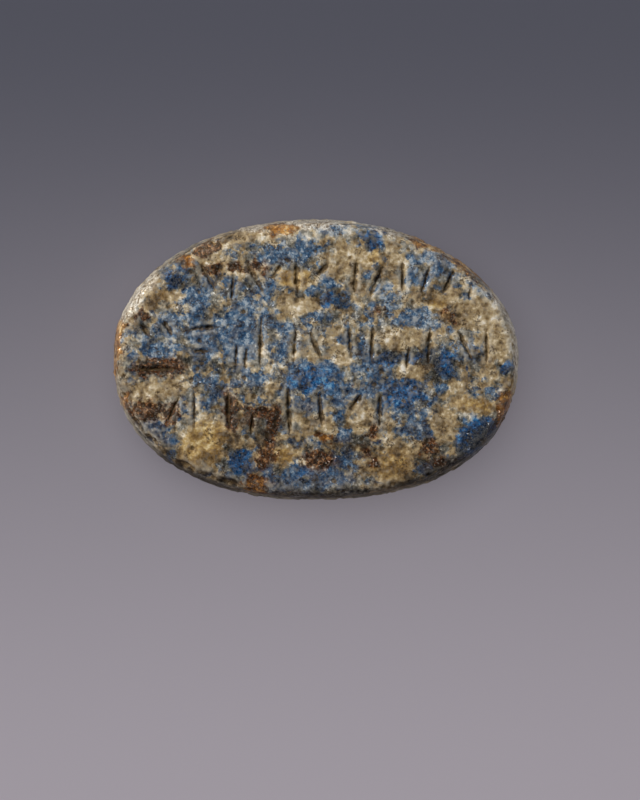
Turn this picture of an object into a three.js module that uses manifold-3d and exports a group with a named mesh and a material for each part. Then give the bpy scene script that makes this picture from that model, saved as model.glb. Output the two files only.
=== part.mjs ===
// An oval gem of mottled blue stone, engraved on its flat front with three rows of wheel-cut strokes.
// Millimetres. The gem lies on its back: +Z comes out of the engraved front, +X runs along the oval
// and +Y points to the top row of strokes. The origin is the middle of the flat back.
import * as THREE from "three";
import { mergeVertices } from "three/addons/utils/BufferGeometryUtils.js";
import Module from "manifold-3d";

const wasm = await Module();
wasm.setup();

// The oval and its edge
const LENGTH = 18.0; // across the girdle, the widest line of the edge
const WIDTH = 12.45;
const THICKNESS = 3.2;
const GIRDLE_HEIGHT = 1.3; // of the girdle above the back
const GIRDLE_ROUND = 0.25; // height of the softened stretch on each side of the girdle
const GIRDLE_SOFTNESS = 0.03; // how far that stretch draws in
const BACK_BEVEL = 0.5; // how far the bevel below the girdle draws the back in
const FLANK_LEAN = 0.16; // how far the flank leans in between the girdle and the shoulder
const SHOULDER_ROUND = 0.5; // mean radius of the worn shoulder round the front
const WEAR_SWING = 0.35; // share by which the shoulder is wider where it is most worn
const MOST_WORN_AT = 150; // degrees round from +X

// How square each quarter of the oval is: 2 is an ellipse, more is fuller. One quarter passes into
// the next over this share of the half-axis on each side of it
const FULLNESS = { rightTop: 1.99, leftTop: 2.13, leftBottom: 2.22, rightBottom: 2.26 };
const QUARTER_BLEND = 0.7;

// The engraving fills the face, so its layout is in shares of the oval
const ROW_HEIGHT = 0.169 * WIDTH; // from the foot to the head of a row
const ROW_PITCH = 0.2345 * WIDTH; // from one row to the next
const ROWS_SHIFT = 0.05 * WIDTH; // the middle row lies this far above the middle of the oval
const COLUMN_PITCH = 0.0278 * LENGTH; // from one column of a row to the next

// The cutting wheel
const STROKE_WIDTH = 0.34;
const STROKE_DEPTH = 0.24;
const WHEEL_BITE = 0.45; // share of the wheel's radius that sinks into the stone

// How far the engraver's hand varied: turn in degrees, sideways as a share of COLUMN_PITCH, and
// height and length as shares of ROW_HEIGHT
const HAND = { turn: 5, sideways: 0.2, height: 0.06, length: 0.08 };

// One character is one column of a row, and a space leaves it bare
const ROWS = [
  "       \\ , \\ ' | '  | ) | / / ,   ",
  "  `_`  =  ,,!  | \\  | |  , [  \\ |  ",
  "    / |  [ ,  !  |  ' |           ",
];

// The strokes of each mark: tilt in degrees from +X, length and rise as shares of ROW_HEIGHT, and
// width and depth as shares of STROKE_WIDTH and STROKE_DEPTH
const MARKS = {
  "|": [{ tilt: 90, length: 0.9 }],
  "!": [{ tilt: 89, length: 1.2, width: 1.15, depth: 1.1 }],
  "[": [{ tilt: 88, length: 1.0, width: 1.4, depth: 1.1 }],
  "/": [{ tilt: 68, length: 0.8 }],
  ")": [{ tilt: 63, length: 1.0, width: 1.35 }],
  "\\": [{ tilt: 117, length: 0.9, width: 1.15 }],
  "'": [{ tilt: 52, length: 0.46, rise: 0.16, width: 1.1 }],
  "`": [{ tilt: 124, length: 0.45, rise: 0.34, width: 1.1 }],
  ",": [{ tilt: 84, length: 0.62, rise: -0.24, width: 0.9 }],
  _: [{ tilt: 177, length: 0.92, rise: -0.54, width: 1.3 }],
  "=": [
    { tilt: 3, length: 0.66, rise: 0.36 },
    { tilt: 176, length: 0.48, rise: -0.08, width: 1.2 },
  ],
};

// A middling chip out of the worn edge: its length along the edge, its width in past the girdle,
// and its depth down from the front
const CHIP = { length: 2.4, width: 0.4, depth: 0.6 };

// The chips: where on the oval in degrees, and how long, wide and deep beside the middling one
const CHIPS = [
  { at: 332, long: 1.1, wide: 1.05, deep: 1.5 },
  { at: 312, long: 1.4, wide: 1.0, deep: 1.0 },
  { at: 352, long: 0.65, wide: 0.9, deep: 1.0 },
  { at: 12, long: 0.8, wide: 0.85, deep: 0.85 },
  { at: 38, long: 1.75, wide: 1.0, deep: 0.85 },
  { at: 118, long: 0.9, wide: 1.1, deep: 0.75 },
  { at: 174, long: 0.6, wide: 1.0, deep: 0.85 },
];

// The stretch of edge that has flaked off all along, in overlapping chips of uneven size
const FLAKED = { from: 200, to: 247, chips: 7, long: 0.95, wide: 1.3, deep: 1.25 };
const UNEVEN = 0.18; // share by which those chips differ from one another

// Facets
const AROUND = 96; // flats round the oval, a multiple of 4 so that its ends and sides are exact
const SHOULDER_STEPS = 5;
const WHEEL_FLATS = 28;
const CHIP_FLATS = { around: 18, down: 10 };
const CLEARANCE = 0.02; // a wheel's rim is this much larger, so that it cuts through the face
const WELD = 1e-5; // points nearer than this are one point

const STONE = new THREE.MeshStandardMaterial({ color: 0x5f7186, roughness: 0.5, metalness: 0 });

// A closed geometry as a solid that can be cut.
function solidFrom(geometry) {
  geometry.deleteAttribute("normal");
  geometry.deleteAttribute("uv");
  const merged = mergeVertices(geometry, WELD);
  return new wasm.Manifold(
    new wasm.Mesh({
      numProp: 3,
      vertProperties: new Float32Array(merged.attributes.position.array),
      triVerts: new Uint32Array(merged.index.array),
    }),
  );
}

function geometryFrom(solid) {
  const { vertProperties, triVerts } = solid.getMesh();
  const geometry = new THREE.BufferGeometry();
  geometry.setAttribute("position", new THREE.BufferAttribute(vertProperties, 3));
  geometry.setIndex(new THREE.BufferAttribute(triVerts, 1));
  geometry.computeVertexNormals();
  return geometry;
}

// The point of the oval in direction angle, on the line that lies inset inside the girdle.
function ovalPoint(angle, inset) {
  const across = Math.cos(angle);
  const up = Math.sin(angle);
  const right = THREE.MathUtils.smoothstep(across, -QUARTER_BLEND, QUARTER_BLEND);
  const top = THREE.MathUtils.smoothstep(up, -QUARTER_BLEND, QUARTER_BLEND);
  const fullness = THREE.MathUtils.lerp(
    THREE.MathUtils.lerp(FULLNESS.leftBottom, FULLNESS.rightBottom, right),
    THREE.MathUtils.lerp(FULLNESS.leftTop, FULLNESS.rightTop, right),
    top,
  );
  const bulge = (share) => Math.sign(share) * Math.abs(share) ** (2 / fullness);
  return new THREE.Vector2(
    (LENGTH / 2 - inset) * bulge(across),
    (WIDTH / 2 - inset) * bulge(up),
  );
}

// The edge in direction angle, from the front face down to the back face, as insets from the girdle
// and heights.
function edgeProfile(angle) {
  const profile = [];
  const fromWorn = angle - THREE.MathUtils.degToRad(MOST_WORN_AT);
  const shoulderWidth = SHOULDER_ROUND * (1 + WEAR_SWING * Math.cos(fromWorn));
  for (let step = 0; step <= SHOULDER_STEPS; step++) {
    const turn = (step / SHOULDER_STEPS) * (Math.PI / 2);
    profile.push({
      inset: GIRDLE_SOFTNESS + FLANK_LEAN + shoulderWidth * (1 - Math.sin(turn)),
      z: THICKNESS - SHOULDER_ROUND * (1 - Math.cos(turn)),
    });
  }
  const flankAt = FLANK_LEAN * (GIRDLE_ROUND / (THICKNESS - SHOULDER_ROUND - GIRDLE_HEIGHT));
  const bevelAt = BACK_BEVEL * (GIRDLE_ROUND / GIRDLE_HEIGHT);
  profile.push({ inset: GIRDLE_SOFTNESS + flankAt, z: GIRDLE_HEIGHT + GIRDLE_ROUND });
  profile.push({ inset: 0, z: GIRDLE_HEIGHT });
  profile.push({ inset: GIRDLE_SOFTNESS + bevelAt, z: GIRDLE_HEIGHT - GIRDLE_ROUND });
  profile.push({ inset: GIRDLE_SOFTNESS + BACK_BEVEL, z: 0 });
  return profile;
}

// The plain cut stone: a unit cylinder whose rows of points move out onto the oval and the profile.
function blank() {
  const rows = edgeProfile(0).length - 1;
  const geometry = new THREE.CylinderGeometry(1, 1, 1, AROUND, rows).rotateX(Math.PI / 2);
  const points = geometry.attributes.position;
  const point = new THREE.Vector3();
  for (let i = 0; i < points.count; i++) {
    point.fromBufferAttribute(points, i);
    const angle = Math.atan2(point.y, point.x);
    const { inset, z } = edgeProfile(angle)[Math.round((0.5 - point.z) * rows)];
    const reach = Math.hypot(point.x, point.y); // 1 on the edge, 0 in the middle of each face
    const on = ovalPoint(angle, inset).multiplyScalar(reach);
    points.setXYZ(i, on.x, on.y, z);
  }
  return solidFrom(geometry);
}

// A small wheel with a sharp rim, sunk into the front so that it leaves one boat-shaped stroke.
function wheelCut(x, y, tilt, length, width, depth) {
  const radius = (depth + CLEARANCE) / WHEEL_BITE;
  const above = radius - depth;
  const stretch = length / (2 * Math.sqrt(radius ** 2 - above ** 2));
  const thick = (width / 2) / (1 - above / radius);
  const wheel = new THREE.LatheGeometry(
    [new THREE.Vector2(0, -thick), new THREE.Vector2(radius, 0), new THREE.Vector2(0, thick)],
    WHEEL_FLATS,
  );
  wheel.scale(stretch, 1, 1);
  wheel.rotateZ(THREE.MathUtils.degToRad(tilt));
  wheel.translate(x, y, THICKNESS + above);
  return solidFrom(wheel);
}

// The unevenness of handwork: a steady number from -1 to 1 for each seed.
const sway = (seed) => 2 * (Math.abs(Math.sin(seed * 12.9898) * 43758.5453) % 1) - 1;

function engraving() {
  const cuts = [];
  ROWS.forEach((row, line) => {
    const baseY = ROWS_SHIFT + ROW_PITCH * ((ROWS.length - 1) / 2 - line);
    [...row].forEach((character, column) => {
      const baseX = COLUMN_PITCH * (column - (row.length - 1) / 2);
      (MARKS[character] ?? []).forEach(({ tilt, length, rise = 0, width = 1, depth = 1 }, part) => {
        const seed = 1 + part + 4 * (column + row.length * line);
        cuts.push(
          wheelCut(
            baseX + COLUMN_PITCH * HAND.sideways * sway(seed),
            baseY + ROW_HEIGHT * (rise + HAND.height * sway(2 * seed)),
            tilt + HAND.turn * sway(3 * seed),
            ROW_HEIGHT * length * (1 + HAND.length * sway(5 * seed)),
            STROKE_WIDTH * width,
            STROKE_DEPTH * depth,
          ),
        );
      });
    });
  });
  return cuts;
}

// A shallow scallop out of the shoulder, lying along the oval.
function chip({ at, long, wide, deep }) {
  const angle = THREE.MathUtils.degToRad(at);
  const here = ovalPoint(angle, 0);
  const next = ovalPoint(angle + Math.PI / AROUND, 0);
  const along = next.sub(here).angle();
  const outward = along - Math.PI / 2;
  const width = CHIP.width * wide;
  const flake = new THREE.SphereGeometry(1, CHIP_FLATS.around, CHIP_FLATS.down);
  flake.scale((CHIP.length / 2) * long, 2 * width, CHIP.depth * deep);
  flake.rotateZ(along);
  flake.translate(here.x + width * Math.cos(outward), here.y + width * Math.sin(outward), THICKNESS);
  return solidFrom(flake);
}

// The flaked stretch as a run of chips.
function flakedRun() {
  const step = (FLAKED.to - FLAKED.from) / (FLAKED.chips - 1);
  return Array.from({ length: FLAKED.chips }, (_, i) => ({
    at: FLAKED.from + step * (i + UNEVEN * sway(i + 1)),
    long: FLAKED.long * (1 + UNEVEN * sway(2 * i + 21)),
    wide: FLAKED.wide * (1 + UNEVEN * sway(3 * i + 41)),
    deep: FLAKED.deep * (1 + UNEVEN * sway(5 * i + 61)),
  }));
}

const cutters = [...engraving(), ...[...CHIPS, ...flakedRun()].map(chip)];
const stone = new THREE.Mesh(geometryFrom(blank().subtract(wasm.Manifold.union(cutters))), STONE);
stone.name = "engraved_stone";

const gem = new THREE.Group();
gem.add(stone);

export default gem;
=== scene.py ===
# %% [markdown]
# # A worn engraved gem
# The object is an oval gem the size of a fingernail, cut from a granular blue and cream stone. Its
# flat front is engraved with rows of short wheel-cut strokes, and centuries of wear have rounded its
# edge, chipped it and stained it brown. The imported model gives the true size, the strokes and the
# large chips. This script gives the stone its grain, its pits, its colours and its light.

# %% Load the frame
import math

import bmesh
import bpy
import numpy as np
from mathutils import Matrix, Vector, noise


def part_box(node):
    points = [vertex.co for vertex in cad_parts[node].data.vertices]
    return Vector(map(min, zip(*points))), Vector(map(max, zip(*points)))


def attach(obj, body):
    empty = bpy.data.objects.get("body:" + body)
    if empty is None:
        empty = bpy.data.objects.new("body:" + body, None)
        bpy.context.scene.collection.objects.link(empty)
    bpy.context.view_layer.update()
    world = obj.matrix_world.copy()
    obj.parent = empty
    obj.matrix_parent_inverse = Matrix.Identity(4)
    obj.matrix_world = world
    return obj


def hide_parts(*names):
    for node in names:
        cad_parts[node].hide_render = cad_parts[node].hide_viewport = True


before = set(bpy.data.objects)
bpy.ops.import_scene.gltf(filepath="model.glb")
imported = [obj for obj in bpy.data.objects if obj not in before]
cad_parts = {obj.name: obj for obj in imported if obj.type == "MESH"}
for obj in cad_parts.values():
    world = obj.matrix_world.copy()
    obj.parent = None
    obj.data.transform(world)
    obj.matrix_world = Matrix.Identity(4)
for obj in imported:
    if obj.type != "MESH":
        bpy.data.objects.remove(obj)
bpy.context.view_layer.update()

STONE_NODE = "engraved_stone"

# %% [markdown]
# ## Working in millimetres
# Blender works in metres, and the gem is 0.018 of one. A voxel remesh can't go below a tenth of a
# millimetre, and small numbers are hard to read, so the stone is worked on a thousand times larger,
# where one unit is a millimetre. It goes back to metres when its mesh is finished.

# %% Scale and the gem's own levels
MM = 0.001
low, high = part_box(STONE_NODE)
FACE_Z = high.z / MM
HALF_LENGTH = high.x / MM
HALF_WIDTH = high.y / MM
print("face at", round(FACE_Z, 3), "mm, half axes", round(HALF_LENGTH, 3), round(HALF_WIDTH, 3))

# %% [markdown]
# ## The stone's fine mesh
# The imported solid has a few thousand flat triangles, large on the face and slender round the
# strokes, and no modifier could roughen that evenly. A voxel remesh lays an even skin of small
# squares over the same shape, as clay laid over a core. The copy is merged first, because the
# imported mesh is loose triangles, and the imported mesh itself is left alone.

# %% Helpers for meshes
WELD = 1e-4  # mm


def finished_mesh(piece):
    """The piece's mesh with its modifiers applied."""
    graph = bpy.context.evaluated_depsgraph_get()
    return bpy.data.meshes.new_from_object(piece.evaluated_get(graph))


def apply_modifiers(piece):
    done = finished_mesh(piece)
    piece.modifiers.clear()
    old = piece.data
    piece.data = done
    bpy.data.meshes.remove(old)


def merged_copy(node, name):
    """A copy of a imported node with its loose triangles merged, in millimetres."""
    shape = bmesh.new()
    shape.from_mesh(node.data)
    bmesh.ops.scale(shape, vec=Vector((1, 1, 1)) / MM, verts=shape.verts)
    bmesh.ops.remove_doubles(shape, verts=shape.verts, dist=WELD)
    mesh = bpy.data.meshes.new(name)
    shape.to_mesh(mesh)
    shape.free()
    piece = bpy.data.objects.new(name, mesh)
    bpy.context.scene.collection.objects.link(piece)
    return piece


print("points closer than", WELD, "mm are merged")

# %% Lay an even skin over the solid
VOXEL = 0.05  # mm

stone = merged_copy(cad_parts[STONE_NODE], "worn_stone")
skin = stone.modifiers.new("Even skin", "REMESH")
skin.mode = "VOXEL"
skin.voxel_size = VOXEL
apply_modifiers(stone)
print("even skin:", len(stone.data.polygons), "faces")

# %% [markdown]
# ## Smooth the stairs
# The remesh leaves tiny stairs on slanted walls. A few rounds of smoothing take them away, and
# they round the strokes' lips too, as wear did on the real gem.

# %% Smooth the skin
SMOOTHING_ROUNDS = 4

shape = bmesh.new()
shape.from_mesh(stone.data)
for _ in range(SMOOTHING_ROUNDS):
    bmesh.ops.smooth_vert(
        shape, verts=shape.verts, factor=0.5, use_axis_x=True, use_axis_y=True, use_axis_z=True
    )
shape.to_mesh(stone.data)
shape.free()
print("smoothed", SMOOTHING_ROUNDS, "times")

# %% [markdown]
# ## Relief: swells, grain, pits and nibbles
# Seen close, the face isn't flat. It swells a little, the grains stand proud of each other, single
# grains have fallen out and left pits, and the edge is nibbled all round. A material bump can't
# show in the outline and doesn't reach the exported mesh, so each point is moved along its normal
# by a few layers of noise, each with its own size. The noise is worked out from the point's place
# alone, so it is the same on every run.

# %% Describe the relief
SWELL = {"size": 2.4, "height": 0.018}  # mm, as all sizes and heights below
LUMPS = {"size": 0.5, "height": 0.03}
GRAIN = {"size": 0.14, "height": 0.017}
PITS = {"size": 0.75, "reach": 0.26, "depth": 0.07}
NIBBLES = {"size": 0.55, "height": 0.075, "spared": 0.05}
EDGE_BAND = 0.8  # how far in from the outline the nibbles fade out
BLACK_PIT = {"x": 4.95, "y": -5.1, "radius": 0.13, "depth": 0.16}
SHIFT = Vector((31.7, 12.3, 57.1))  # noise repeats its look near zero, so it is read elsewhere
LAYERS = (2.0, 3)  # noise in three layers, each of half the size of the one before


def edge_share(x, y):
    """1 on the oval's outline and outside it, 0 from EDGE_BAND inside it."""
    reach = math.hypot(x / HALF_LENGTH, y / HALF_WIDTH)
    inside = (1 - reach) * min(HALF_LENGTH, HALF_WIDTH)
    return min(1.0, max(0.0, 1 - inside / EDGE_BAND))


def hollow(distance, radius):
    """A round-bottomed hollow: 1 in its middle, 0 from its radius on."""
    share = max(0.0, 1 - (distance / radius) ** 2)
    return share * share


def relief(place):
    """How far a point stands out of the worn stone, in millimetres."""
    at = place + SHIFT
    swell = SWELL["height"] * noise.fractal(at / SWELL["size"], 0.7, *LAYERS)
    lumps = LUMPS["height"] * noise.fractal(at / LUMPS["size"], 0.6, *LAYERS)
    grain = GRAIN["height"] * noise.noise(at / GRAIN["size"])
    nearest = noise.voronoi(at / PITS["size"])[0][0]
    pits = PITS["depth"] * hollow(nearest, PITS["reach"])
    nibbled = max(0.0, noise.fractal(at / NIBBLES["size"], 0.5, *LAYERS) - NIBBLES["spared"])
    nibbles = NIBBLES["height"] * nibbled * edge_share(place.x, place.y)
    from_pit = math.hypot(place.x - BLACK_PIT["x"], place.y - BLACK_PIT["y"])
    black_pit = BLACK_PIT["depth"] * hollow(from_pit, BLACK_PIT["radius"])
    return swell + lumps + grain - pits - nibbles - black_pit


print("relief at the middle, mm:", round(relief(Vector((0, 0, FACE_Z))), 4))

# %% [markdown]
# ## Move the points
# A bmesh keeps the normals it started with while its points move, which an ordinary mesh doesn't,
# so the order of the points makes no difference. The gem lies on the floor, so no point goes below
# it.

# %% Give the skin its relief
shape = bmesh.new()
shape.from_mesh(stone.data)
for vertex in shape.verts:
    vertex.co += vertex.normal * relief(vertex.co)
    vertex.co.z = max(0.0, vertex.co.z)
print("relief moved", len(shape.verts), "points")
shape.to_mesh(stone.data)
shape.free()

# %% [markdown]
# ## Spending the triangles where they show
# The even skin has more triangles than the part may have, and the back needs few. A Decimate
# modifier merges them, and a vertex group says where it may: below the shoulder and not on the
# front, which keeps its squares.

# %% Thin the mesh below the shoulder
TRIANGLE_LIMIT = 190000
KEEP_ABOVE = 0.55  # mm below the face down to which no point is merged
thinning = stone.vertex_groups.new(name="May be thinned")
low_points = [vertex.index for vertex in stone.data.vertices if vertex.co.z < FACE_Z - KEEP_ABOVE]
thinning.add(low_points, 1.0, "REPLACE")
triangles = sum(len(face.vertices) - 2 for face in stone.data.polygons)
thin = stone.modifiers.new("Fewer triangles", "DECIMATE")
thin.ratio = TRIANGLE_LIMIT / triangles
thin.vertex_group = thinning.name
thin.vertex_group_factor = 1.0
apply_modifiers(stone)
stone.vertex_groups.clear()
front = sum(1 for face in stone.data.polygons if face.center.z > FACE_Z - KEEP_ABOVE)
print("thinned from", triangles, "to", len(stone.data.polygons), "faces,", front, "on the front")

# %% [markdown]
# ## Hollows and lips
# Dust settles in strokes and pits, and handling rubs the lips beside them, so the material has to
# know how deep each point lies. The darkened hollows are also painted shade, and the paled lips
# partly painted highlight. Each point is compared with the average of its neighbours, taken
# several times over, so that the comparison reaches across a stroke. It is measured here, while
# the mesh is still in millimetres.

# %% Read the mesh into arrays
def mesh_values(mesh, name, width):
    """One of the mesh's per-point values as a numpy array."""
    values = np.empty(len(mesh.vertices) * width)
    mesh.vertices.foreach_get(name, values)
    return values.reshape(-1, width)


mesh = stone.data
points = mesh_values(mesh, "co", 3)
normals = mesh_values(mesh, "normal", 3)
ends = np.empty(len(mesh.edges) * 2, dtype=np.int64)
mesh.edges.foreach_get("vertices", ends)
ends = ends.reshape(-1, 2)
starts = np.concatenate([ends[:, 0], ends[:, 1]])
others = np.concatenate([ends[:, 1], ends[:, 0]])
neighbours = np.bincount(starts, minlength=len(points))
print("points:", len(points), "with up to", neighbours.max(), "neighbours")

# %% Measure hollows and lips
HOLLOW_ROUNDS = 14
DEEP_HOLLOW = 0.036  # mm below the surroundings that counts as a full hollow

smoothed = points.copy()
for _ in range(HOLLOW_ROUNDS):
    sums = [np.bincount(starts, smoothed[others, axis], len(points)) for axis in range(3)]
    smoothed = np.stack(sums, axis=1) / neighbours[:, None]
depth = ((smoothed - points) * normals).sum(axis=1) / DEEP_HOLLOW
hollows = np.clip(depth, 0, 1)
lips = np.clip(-depth, 0, 1)
print("points in hollows", int((hollows > 0.5).sum()), "on lips", int((lips > 0.5).sum()))

# %% [markdown]
# ## Where the stone is blue, cream or rusty
# The real stone is a patchwork: deep blue grains crowd together in some places, cream ones in
# others, and rust brown stains sit along the edge and in the lower left. These patches are
# particular to this gem, so they are placed one by one, as a painter blocks in the large shapes,
# each as an oval with a place, two half sizes, a turn and a strength. They hold no detail: noise
# bends their outlines here, and the material breaks them up into grains.

# %% The blue patches, in millimetres from the gem's middle
# x, y, half length, half width, turn in degrees, strength
BLUE = [
    (-0.1, 2.9, 0.3, 0.35, 0, 1.0),
    (0.5, 3.5, 0.5, 0.35, 0, 1.0),
    (1.25, 2.6, 0.4, 0.2, 0, 0.8),
    (-5.3, 2.8, 0.5, 0.6, 0, 0.9),
    (-4.3, 1.9, 2.0, 1.6, 0, 0.3),
    (-3.65, 3.2, 0.45, 0.6, 0, 0.4),
    (-5.3, 1.95, 0.35, 0.3, 0, 0.7),
    (-3.1, 0.8, 0.6, 0.85, 0, 1.0),
    (-4.4, 1.0, 0.85, 0.27, 0, 0.95),
    (-3.4, 0.3, 0.45, 0.5, 0, 1.0),
    (-4.7, 0.0, 0.5, 0.4, 0, 0.8),
    (-4.5, -1.0, 0.5, 0.2, 0, 0.9),
    (-4.5, -1.55, 0.45, 0.25, 0, 0.7),
    (-5.8, -2.05, 0.35, 0.3, 0, 0.5),
    (-6.2, 1.35, 0.65, 0.45, 0, 0.6),
    (-7.1, 0.5, 0.5, 0.38, 0, 1.0),
    (-7.1, -3.05, 0.65, 0.3, 0, 0.9),
    (-6.3, -3.5, 0.3, 0.25, 0, 0.8),
    (3.05, -2.0, 0.4, 0.25, 0, 1.0),
    (4.2, -2.1, 0.35, 0.25, 0, 1.0),
    (4.5, -3.05, 0.75, 0.45, 0, 0.6),
    (4.95, -3.2, 0.25, 0.2, 0, 1.0),
    (-0.3, -2.1, 0.62, 0.27, 0, 1.0),
    (-0.7, -5.3, 1.5, 0.68, 0, 0.75),
    (0.85, -5.25, 0.4, 0.25, 0, 0.9),
    (-1.95, -5.35, 0.3, 0.5, 0, 0.6),
    (6.6, -4.3, 0.4, 0.35, 0, 0.5),
    (6.5, -2.75, 0.4, 0.2, -25, 0.9),
    (4.9, -4.95, 0.5, 0.2, 0, 0.8),
    (-1.6, 4.65, 1.3, 0.5, 0, 0.65),
    (-1.45, 4.1, 0.3, 0.25, 0, 1.0),
    (-0.75, 5.05, 0.25, 0.15, 0, 1.0),
    (0.1, 4.6, 0.5, 0.5, 0, 0.6),
    (-1.9, 3.3, 0.55, 0.3, 0, 0.7),
    (5.7, 4.0, 0.95, 0.5, 0, 0.7),
    (5.9, 4.05, 0.35, 0.3, 0, 0.9),
    (4.4, 3.5, 0.5, 0.5, 0, 0.6),
    (4.2, 4.55, 0.25, 0.15, 0, 1.0),
    (6.9, 3.5, 0.3, 0.2, -45, 1.0),
    (7.45, 2.95, 0.25, 0.2, 0, 0.9),
    (6.7, 2.75, 0.2, 0.2, 0, 0.8),
    (2.0, 0.3, 0.3, 0.5, 0, 1.0),
    (2.4, -0.25, 0.3, 0.45, 0, 0.5),
    (2.6, -0.9, 0.3, 0.5, 0, 1.0),
    (1.25, -3.3, 0.25, 0.2, 0, 1.0),
    (0.8, -4.45, 0.4, 0.2, 0, 0.9),
    (1.35, -4.25, 0.25, 0.2, 0, 1.0),
    (0.95, -2.7, 0.2, 0.35, 0, 0.5),
    (4.1, 0.4, 0.35, 0.3, 0, 0.8),
    (5.8, -0.7, 0.45, 0.35, 0, 0.9),
    (5.5, -1.35, 0.25, 0.2, 0, 0.9),
    (7.3, -1.5, 0.7, 0.35, 0, 0.55),
    (6.9, 0.45, 0.35, 0.3, 0, 0.5),
    (8.3, 1.85, 0.2, 0.25, 0, 0.5),
    (4.1, 1.6, 1.0, 0.35, 0, 0.65),
    (-1.3, 1.5, 0.5, 0.2, 0, 0.8),
    (0.4, 1.9, 0.5, 0.2, 0, 0.8),
    (-1.5, 0.2, 0.3, 0.45, 0, 0.8),
    (1.15, 0.9, 0.3, 0.35, 0, 0.7),
    (1.2, -1.35, 0.5, 0.45, 0, 0.7),
    (-2.8, -1.0, 0.45, 0.25, 0, 0.7),
    (2.2, 3.7, 0.35, 0.35, 0, 0.7),
    (3.1, 2.8, 0.45, 0.4, 0, 0.5),
    (3.3, 2.3, 0.35, 0.2, 0, 0.6),
    (4.5, 2.0, 0.45, 0.25, 0, 0.7),
    (0.6, 5.8, 0.6, 0.25, 0, 0.6),
]
DEEP_BLUE = [
    (-0.15, -0.9, 1.25, 0.6, 0, 0.8),
    (0.5, 2.55, 0.35, 0.35, 0, 0.9),
    (0.0, 4.0, 0.35, 0.25, 0, 0.8),
    (2.5, 5.4, 0.45, 0.5, 0, 1.0),
    (2.4, 4.9, 0.2, 0.2, 0, 0.9),
    (3.3, 0.05, 0.55, 0.42, 0, 1.0),
    (4.35, 0.1, 0.35, 0.3, 0, 1.0),
    (5.65, -0.25, 0.6, 0.35, 50, 1.0),
    (3.85, -1.55, 1.15, 0.6, 0, 0.9),
    (-6.3, 3.5, 0.4, 0.4, 0, 1.0),
    (-3.4, -4.55, 0.45, 0.45, 0, 1.0),
    (-6.3, -4.25, 0.2, 0.3, 0, 0.9),
    (-0.5, -5.15, 0.45, 0.3, 0, 0.7),
    (6.95, -3.4, 1.2, 0.55, 38, 1.0),
    (8.45, -0.45, 0.3, 0.25, 0, 1.0),
]
print("blue patches:", len(BLUE), "and deep blue ones:", len(DEEP_BLUE))

# %% The cream and ochre patches
CREAM = [
    (0.85, 4.1, 1.0, 0.7, -20, 0.9),
    (-0.65, 2.3, 0.95, 0.4, 0, 0.9),
    (2.0, 4.05, 0.5, 0.85, 0, 0.85),
    (3.75, 1.0, 1.0, 0.5, 0, 1.0),
    (4.1, -0.45, 0.75, 0.4, -35, 0.95),
    (7.2, 2.1, 1.2, 0.65, 0, 0.9),
    (8.1, 0.6, 0.6, 0.65, 0, 0.95),
    (-0.15, -2.7, 0.75, 0.35, 0, 0.85),
    (5.75, -2.85, 0.65, 0.65, 0, 0.9),
    (-7.8, 3.3, 1.3, 0.5, 50, 1.0),
    (-7.2, -1.4, 1.35, 0.45, 0, 0.7),
    (-2.4, 5.65, 1.0, 0.4, 10, 0.8),
    (-4.3, -0.05, 0.4, 0.35, 0, 0.7),
    (-3.15, -0.2, 0.3, 0.25, 0, 0.7),
    (6.3, 4.05, 0.5, 0.25, 0, 0.85),
    (4.5, 2.85, 0.35, 0.25, 0, 0.85),
    (6.0, 2.75, 0.3, 0.35, 0, 0.6),
    (6.75, 3.2, 0.25, 0.2, 0, 0.8),
    (-0.25, 0.25, 0.45, 0.27, 0, 0.85),
    (1.1, 0.1, 0.35, 0.45, 0, 0.8),
    (-1.95, -1.25, 0.4, 0.25, 0, 0.6),
    (6.1, -1.3, 0.35, 0.3, 0, 0.9),
    (1.9, -3.0, 0.4, 0.25, 0, 0.8),
    (2.1, -2.3, 0.25, 0.3, 0, 0.9),
    (5.85, -4.0, 0.4, 0.35, 0, 0.75),
    (-0.15, 3.5, 0.4, 0.25, 40, 1.0),
    (-4.6, 4.35, 0.6, 0.2, 0, 0.9),
    (-3.6, 5.2, 0.8, 0.5, 0, 0.55),
    (3.7, 4.35, 0.45, 0.35, 0, 1.0),
    (7.7, -0.6, 0.45, 0.35, 0, 0.8),
    (-3.7, 3.8, 0.4, 0.4, 0, 0.7),
    (-4.2, 2.6, 0.5, 0.3, 0, 0.6),
    (-2.5, 0.6, 0.25, 0.4, 0, 0.9),
    (3.7, 3.3, 0.35, 0.35, 0, 0.6),
    (-6.2, 2.5, 0.4, 0.3, 0, 0.6),
]
OCHRE = [
    (-5.0, -3.75, 1.15, 0.85, 35, 1.0),
    (-1.1, 3.65, 0.75, 0.45, 0, 1.0),
    (2.4, 4.5, 0.3, 0.4, 0, 0.7),
    (-1.5, -4.2, 0.65, 0.3, 0, 1.0),
    (3.3, -4.6, 1.0, 0.85, 0, 0.8),
    (6.9, -2.0, 1.1, 0.35, 0, 0.7),
    (-7.0, 2.75, 0.5, 0.35, 0, 0.6),
    (8.6, -1.4, 0.25, 0.8, 0, 0.8),
    (5.4, 2.4, 0.5, 0.3, 0, 0.8),
]
print("cream patches:", len(CREAM), "and ochre ones:", len(OCHRE))

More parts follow.
